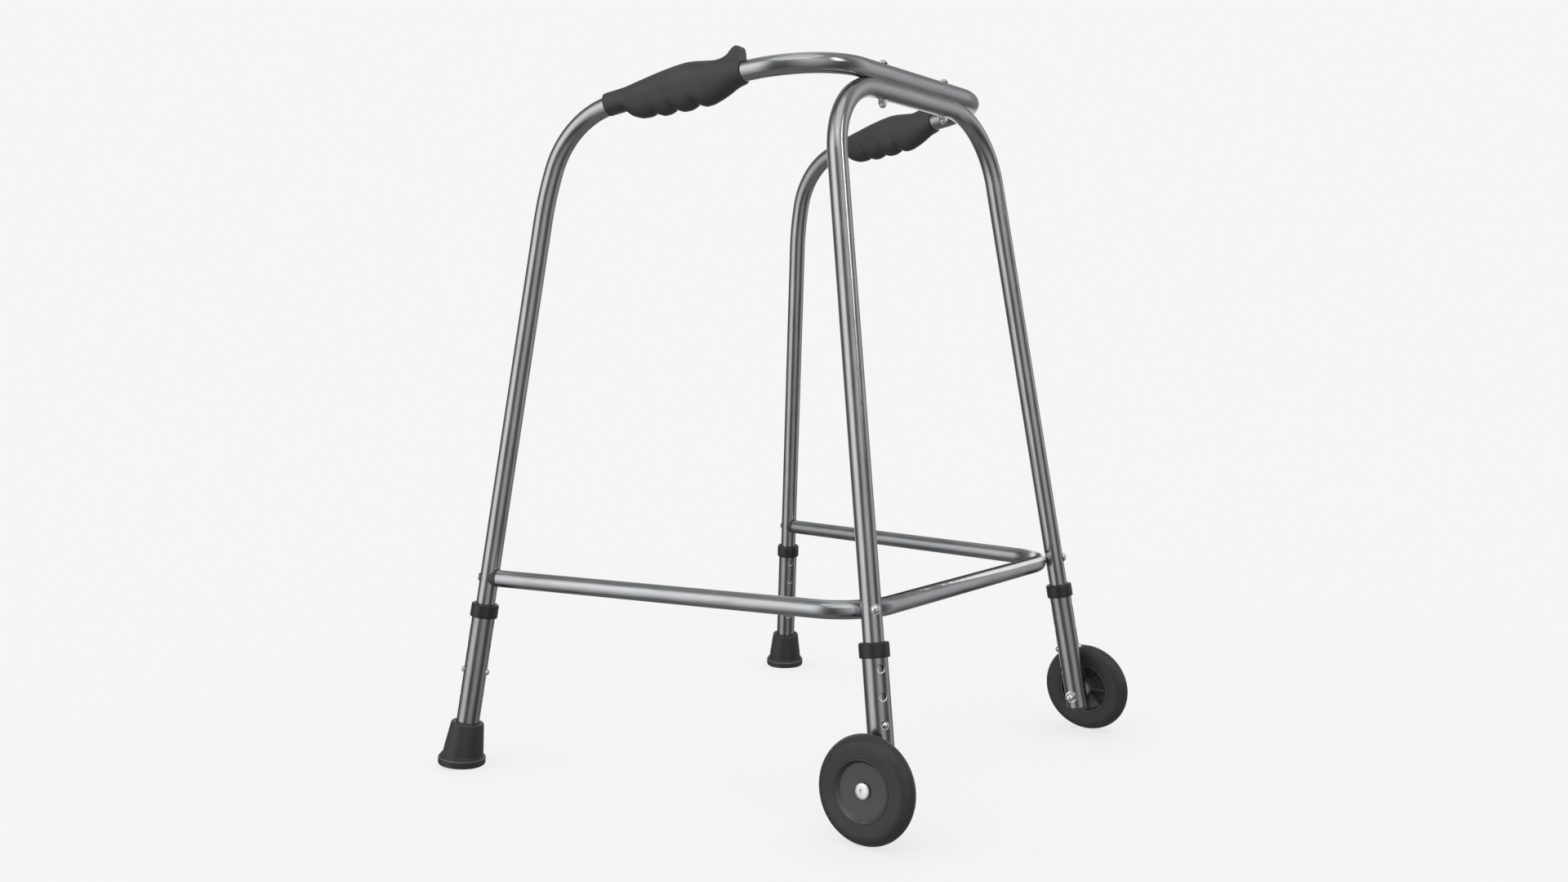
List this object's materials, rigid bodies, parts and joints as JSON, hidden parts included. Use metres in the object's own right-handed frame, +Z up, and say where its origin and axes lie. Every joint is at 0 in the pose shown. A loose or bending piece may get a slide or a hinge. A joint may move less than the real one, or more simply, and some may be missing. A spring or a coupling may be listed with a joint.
{
  "type": "walking frame",
  "caption": "Tubular walking frame with moulded hand grips, a U-shaped lower brace, telescopic snap-button legs, front wheels and rubber rear ferrules.",
  "frame": {"origin": "on the floor under the centre of the whole frame's bounding box", "axes": "+Z up, -Y forwards (the way the user walks), +X to the user's left; x = 0 is the mirror plane"},
  "size_m": [0.7912, 0.6947, 0.9228],
  "materials": {
    "frame_tube": "satin, brushed lengthwise, dark grey",
    "leg_sleeve": "satin, brushed lengthwise, dark grey",
    "grip": "satin moulded soft grip, near black",
    "bright_hardware": "bright plated",
    "snap_button": "bright, polished by use",
    "spring_strip": "blued spring steel",
    "collar_plastic": "fine moulded texture",
    "plug_plastic": "fine moulded texture",
    "ferrule_rubber": "matt, slightly dusty",
    "ferrule_disc": "zinc plated",
    "wheel_tyre": "matt grey-black solid tyre",
    "wheel_hub": "moulded, slightly glossy",
    "wheel_bush": "smooth bearing plastic",
    "axle_spacer": "smooth light grey"
  },
  "bodies": {
    "frame": {"handle_tube": "frame_tube", "front_tube": "frame_tube", "brace_tube": "frame_tube", "left_grip": "grip", "right_grip": "grip", "top_joint_bolts": "bright_hardware", "top_joint_washers": "bright_hardware", "top_joint_nuts": "bright_hardware", "brace_end_plugs": "plug_plastic", "brace_end_bolts": "bright_hardware", "brace_end_washers": "bright_hardware", "brace_end_nuts": "bright_hardware", "brace_front_bolts": "bright_hardware", "brace_front_washers": "bright_hardware", "brace_front_nuts": "bright_hardware", "rear_left_button_spring": "spring_strip", "rear_right_button_spring": "spring_strip", "front_left_button_spring": "spring_strip", "front_right_button_spring": "spring_strip"},
    "rear_left_leg": {"rear_left_leg_sleeve": "leg_sleeve", "rear_left_leg_collar": "collar_plastic", "left_ferrule": "ferrule_rubber", "left_ferrule_disc": "ferrule_disc"},
    "rear_right_leg": {"rear_right_leg_sleeve": "leg_sleeve", "rear_right_leg_collar": "collar_plastic", "right_ferrule": "ferrule_rubber", "right_ferrule_disc": "ferrule_disc"},
    "front_left_leg": {"front_left_leg_sleeve": "leg_sleeve", "front_left_leg_collar": "collar_plastic", "left_axle_bolt": "bright_hardware", "left_axle_spacer": "axle_spacer", "left_axle_nut": "bright_hardware", "left_axle_washer": "bright_hardware", "left_front_leg_plug": "plug_plastic"},
    "front_right_leg": {"front_right_leg_sleeve": "leg_sleeve", "front_right_leg_collar": "collar_plastic", "right_axle_bolt": "bright_hardware", "right_axle_spacer": "axle_spacer", "right_axle_nut": "bright_hardware", "right_axle_washer": "bright_hardware", "right_front_leg_plug": "plug_plastic"},
    "left_wheel": {"left_wheel_tyre": "wheel_tyre", "left_wheel_hub": "wheel_hub", "left_wheel_bush": "wheel_bush"},
    "right_wheel": {"right_wheel_tyre": "wheel_tyre", "right_wheel_hub": "wheel_hub", "right_wheel_bush": "wheel_bush"},
    "rear_left_button_front": {"rear_left_button_front": "snap_button"},
    "rear_left_button_rear": {"rear_left_button_rear": "snap_button"},
    "rear_right_button_front": {"rear_right_button_front": "snap_button"},
    "rear_right_button_rear": {"rear_right_button_rear": "snap_button"},
    "front_left_button_front": {"front_left_button_front": "snap_button"},
    "front_left_button_rear": {"front_left_button_rear": "snap_button"},
    "front_right_button_front": {"front_right_button_front": "snap_button"},
    "front_right_button_rear": {"front_right_button_rear": "snap_button"}
  },
  "joints": [
    {"name": "rear_left_leg_slide", "type": "slide", "parent": "frame", "child": "rear_left_leg", "axis": [0.1087, 0.116, -0.9873], "range_m": [0, 0.0636], "deforming": ["rear_left_button_front", "rear_left_button_rear"]},
    {"name": "rear_right_leg_slide", "type": "slide", "parent": "frame", "child": "rear_right_leg", "axis": [-0.1087, 0.116, -0.9873], "range_m": [0, 0.0636], "deforming": ["rear_right_button_front", "rear_right_button_rear"]},
    {"name": "front_left_leg_slide", "type": "slide", "parent": "frame", "child": "front_left_leg", "axis": [0.0818, -0.1461, -0.9859], "range_m": [0, 0.0636], "deforming": ["front_left_button_front", "front_left_button_rear"]},
    {"name": "front_right_leg_slide", "type": "slide", "parent": "frame", "child": "front_right_leg", "axis": [-0.0818, -0.1461, -0.9859], "range_m": [0, 0.0636], "deforming": ["front_right_button_front", "front_right_button_rear"]},
    {"name": "left_wheel_spin", "type": "hinge", "parent": "front_left_leg", "child": "left_wheel", "pos_m": [0.29475, -0.28481, 0.06236], "axis": [0.9966, 0, 0.0827], "continuous": true},
    {"name": "right_wheel_spin", "type": "hinge", "parent": "front_right_leg", "child": "right_wheel", "pos_m": [-0.29475, -0.28481, 0.06236], "axis": [-0.9966, 0, 0.0827], "continuous": true},
    {"name": "rear_left_button_front_press", "type": "slide", "parent": "frame", "child": "rear_left_button_front", "axis": [0.602, 0.7827, 0.1582], "range_m": [0, 0.0054], "deforming": ["rear_left_button_spring"]},
    {"name": "rear_left_button_rear_press", "type": "slide", "parent": "frame", "child": "rear_left_button_rear", "axis": [-0.602, -0.7827, -0.1582], "range_m": [0, 0.0054], "deforming": ["rear_left_button_spring"]},
    {"name": "rear_right_button_front_press", "type": "slide", "parent": "frame", "child": "rear_right_button_front", "axis": [-0.602, 0.7827, 0.1582], "range_m": [0, 0.0054], "deforming": ["rear_right_button_spring"]},
    {"name": "rear_right_button_rear_press", "type": "slide", "parent": "frame", "child": "rear_right_button_rear", "axis": [0.602, -0.7827, -0.1582], "range_m": [0, 0.0054], "deforming": ["rear_right_button_spring"]},
    {"name": "front_left_button_front_press", "type": "slide", "parent": "frame", "child": "front_left_button_front", "axis": [-0.5179, 0.839, -0.1673], "range_m": [0, 0.0054], "deforming": ["front_left_button_spring"]},
    {"name": "front_left_button_rear_press", "type": "slide", "parent": "frame", "child": "front_left_button_rear", "axis": [0.5179, -0.839, 0.1673], "range_m": [0, 0.0054], "deforming": ["front_left_button_spring"]},
    {"name": "front_right_button_front_press", "type": "slide", "parent": "frame", "child": "front_right_button_front", "axis": [0.5179, 0.839, -0.1673], "range_m": [0, 0.0054], "deforming": ["front_right_button_spring"]},
    {"name": "front_right_button_rear_press", "type": "slide", "parent": "frame", "child": "front_right_button_rear", "axis": [-0.5179, -0.839, 0.1673], "range_m": [0, 0.0054], "deforming": ["front_right_button_spring"]}
  ],
  "couplings": [
    {"joint": "rear_left_button_rear_press", "follows": "rear_left_button_front_press", "ratio": 1},
    {"joint": "rear_right_button_rear_press", "follows": "rear_right_button_front_press", "ratio": 1},
    {"joint": "front_left_button_rear_press", "follows": "front_left_button_front_press", "ratio": 1},
    {"joint": "front_right_button_rear_press", "follows": "front_right_button_front_press", "ratio": 1}
  ]
}
